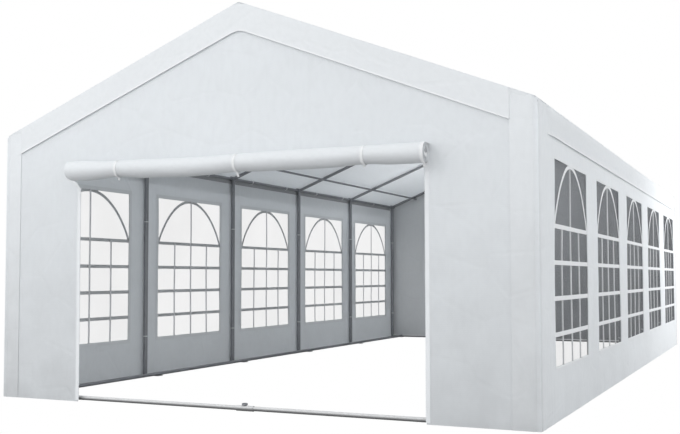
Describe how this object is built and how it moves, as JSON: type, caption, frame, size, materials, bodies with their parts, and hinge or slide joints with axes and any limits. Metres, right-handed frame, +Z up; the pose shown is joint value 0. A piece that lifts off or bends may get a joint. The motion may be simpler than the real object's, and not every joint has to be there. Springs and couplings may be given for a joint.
{
  "type": "marquee tent",
  "caption": "White fabric marquee with a pitched roof, hanging valances, clear windows along both long walls, a rolled-up door at one end and a steel tube frame.",
  "frame": {"origin": "middle of the footprint, on the ground", "axes": "+Z up, +Y along the ridge away from the doorway, +X to the right of someone who faces the doorway"},
  "size_m": [5.02, 10.488, 3.4339],
  "materials": {
    "galvanised_tube": "dull galvanised",
    "white_fabric": "woven, plastic coated, satin",
    "clear_sheet": "clear flexible sheet"
  },
  "bodies": {
    "root": {"post_left_1": "galvanised_tube", "rafter_left_1": "galvanised_tube", "post_left_2": "galvanised_tube", "rafter_left_2": "galvanised_tube", "post_left_3": "galvanised_tube", "rafter_left_3": "galvanised_tube", "post_left_4": "galvanised_tube", "rafter_left_4": "galvanised_tube", "post_left_5": "galvanised_tube", "rafter_left_5": "galvanised_tube", "post_left_6": "galvanised_tube", "rafter_left_6": "galvanised_tube", "post_right_1": "galvanised_tube", "rafter_right_1": "galvanised_tube", "post_right_2": "galvanised_tube", "rafter_right_2": "galvanised_tube", "post_right_3": "galvanised_tube", "rafter_right_3": "galvanised_tube", "post_right_4": "galvanised_tube", "rafter_right_4": "galvanised_tube", "post_right_5": "galvanised_tube", "rafter_right_5": "galvanised_tube", "post_right_6": "galvanised_tube", "rafter_right_6": "galvanised_tube", "eave_rail_left": "galvanised_tube", "eave_rail_right": "galvanised_tube", "ridge_rail": "galvanised_tube", "roof_purlin_left": "galvanised_tube", "roof_purlin_right": "galvanised_tube", "sill_front": "galvanised_tube", "sill_back": "galvanised_tube", "ground_rail_left": "galvanised_tube", "ground_rail_right": "galvanised_tube", "side_wall_left": "white_fabric", "side_wall_right": "white_fabric", "front_wall_left": "white_fabric", "front_wall_right": "white_fabric", "front_gable": "white_fabric", "back_wall": "white_fabric", "roof_left": "white_fabric", "roof_right": "white_fabric", "eave_valance_left": "white_fabric", "eave_valance_right": "white_fabric", "gable_valance_front_left": "white_fabric", "gable_valance_front_right": "white_fabric", "gable_valance_back_left": "white_fabric", "gable_valance_back_right": "white_fabric", "door_roll": "white_fabric", "window_sheet_left": "clear_sheet", "window_sheet_right": "clear_sheet"}
  },
  "joints": []
}
